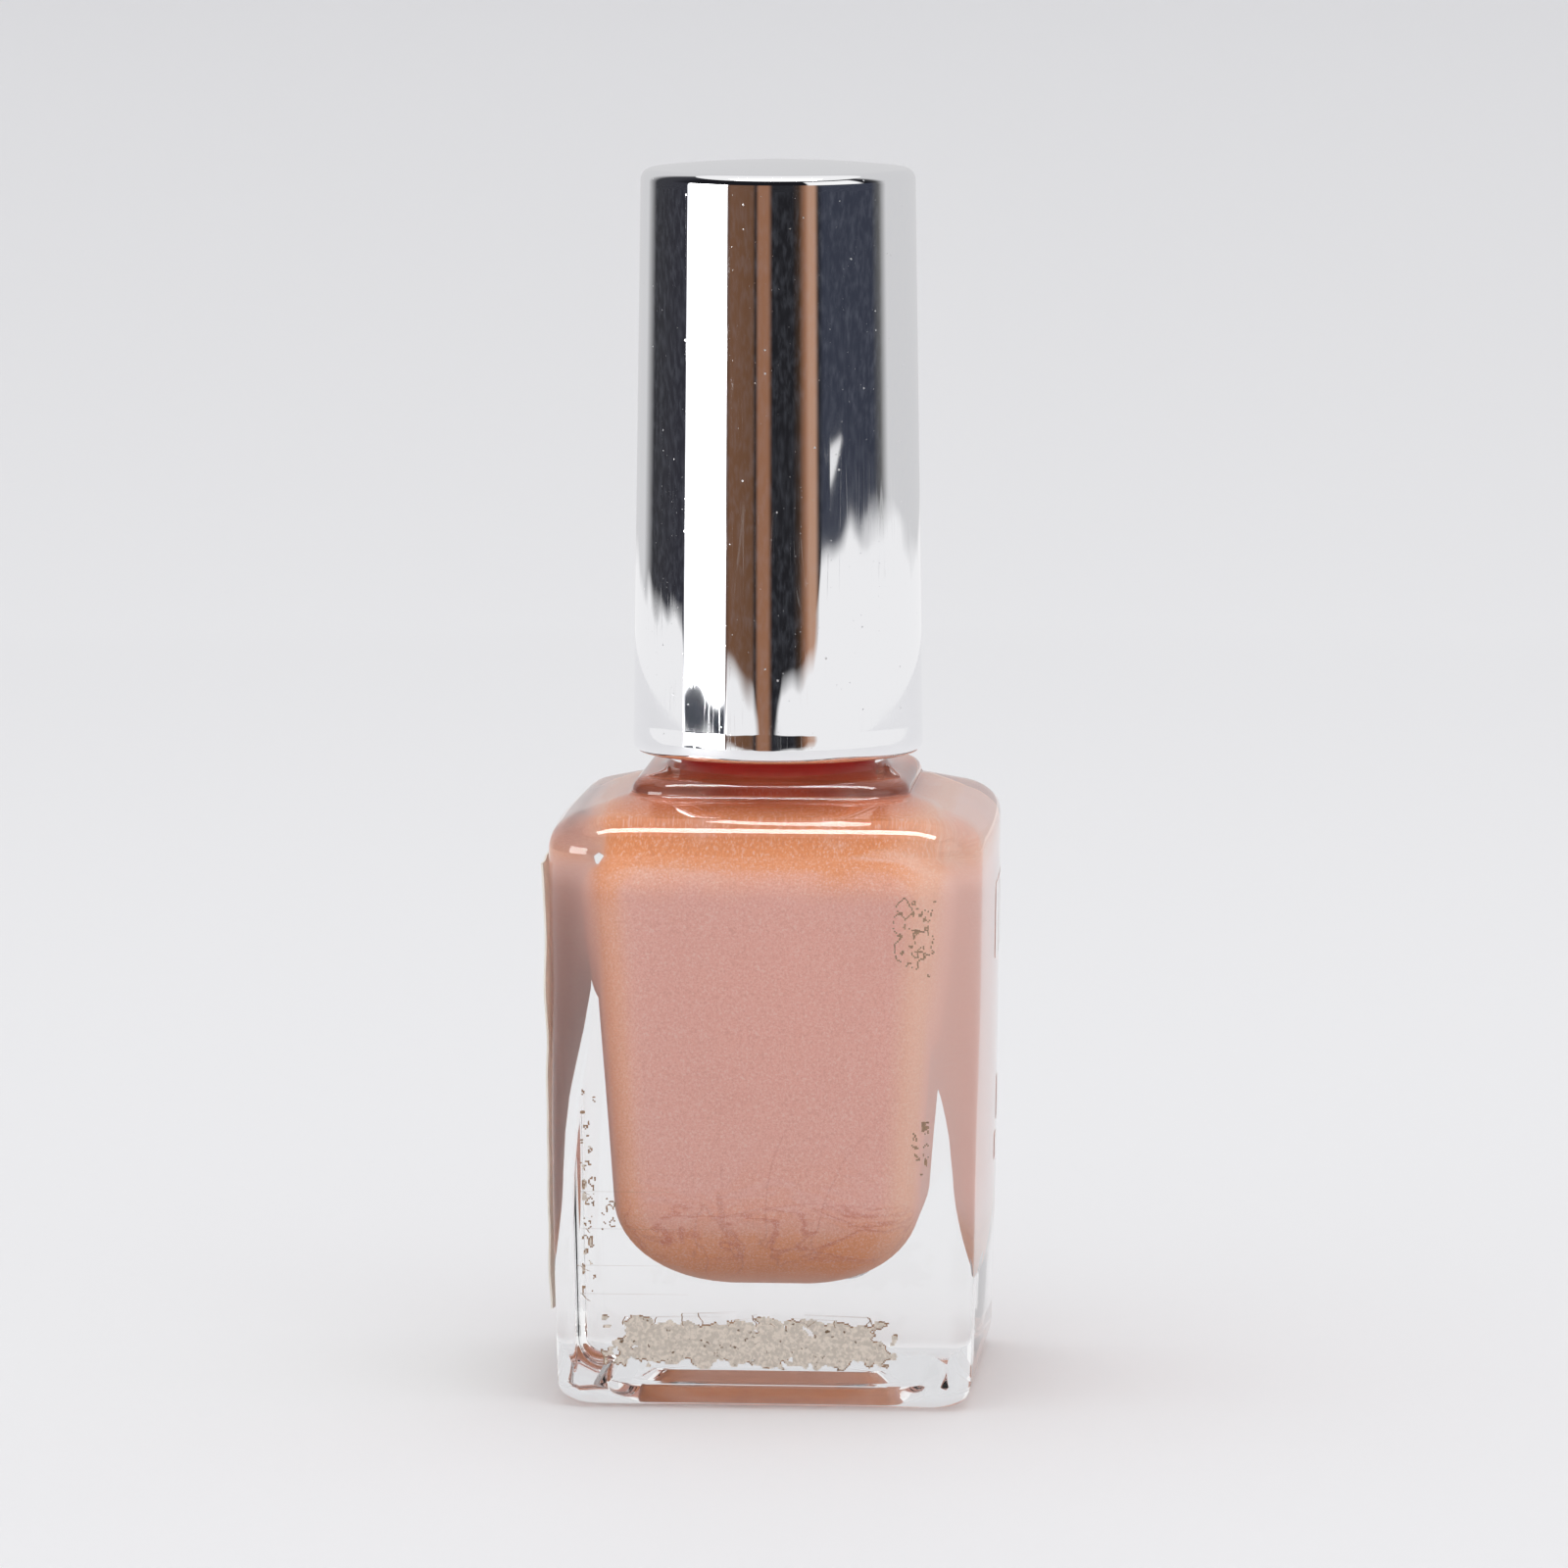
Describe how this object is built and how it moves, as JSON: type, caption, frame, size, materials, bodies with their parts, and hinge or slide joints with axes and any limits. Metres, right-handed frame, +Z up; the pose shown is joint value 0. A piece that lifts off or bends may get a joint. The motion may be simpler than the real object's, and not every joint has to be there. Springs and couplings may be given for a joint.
{
  "type": "nail polish bottle",
  "caption": "Square thick-footed glass bottle of pearl lacquer with a screw neck and a tall tapered mirror-bright cap that carries a dip brush.",
  "frame": {"origin": "middle of the flat foot, on the surface the bottle stands on", "axes": "+Z up along the neck and the brush; -Y is the front face; -X is the face with the paper label"},
  "size_m": [0.0253, 0.0252, 0.0732],
  "materials": {
    "clear_glass": "clear, polished",
    "lacquer": "pearl coral lacquer",
    "ball_steel": "smooth",
    "label_paper": "uncoated paper",
    "washer_plastic": "soft, satin",
    "stem_plastic": "satin",
    "staple_wire": "drawn wire",
    "bristle": "nylon fibre",
    "cap_plastic": "moulded, satin",
    "bright_shell": "mirror-polished, with fine scratches"
  },
  "bodies": {
    "bottle": {"glass_bottle": "clear_glass", "nail_lacquer": "lacquer", "mixing_balls": "ball_steel", "side_label": "label_paper"},
    "washer": {"sealing_washer": "washer_plastic"},
    "brush": {"brush_stem": "stem_plastic", "brush_staple": "staple_wire", "bristle_tuft": "bristle"},
    "cap": {"inner_cap": "cap_plastic", "cap_shell": "bright_shell"}
  },
  "joints": [
    {"name": "cap_draw", "type": "slide", "parent": "bottle", "child": "washer", "axis": [0, 0, 1], "range_m": [0, 0.055]},
    {"name": "thread_rise", "type": "slide", "parent": "washer", "child": "brush", "axis": [0, 0, 1], "range_m": [0, 0.00317]},
    {"name": "cap_turn", "type": "hinge", "parent": "brush", "child": "cap", "pos_m": [0, 0, 0.05], "axis": [0, 0, 1], "range_deg": [0, 540]}
  ],
  "couplings": [
    {"joint": "thread_rise", "follows": "cap_turn", "m_per_rad": 0.00033688}
  ]
}
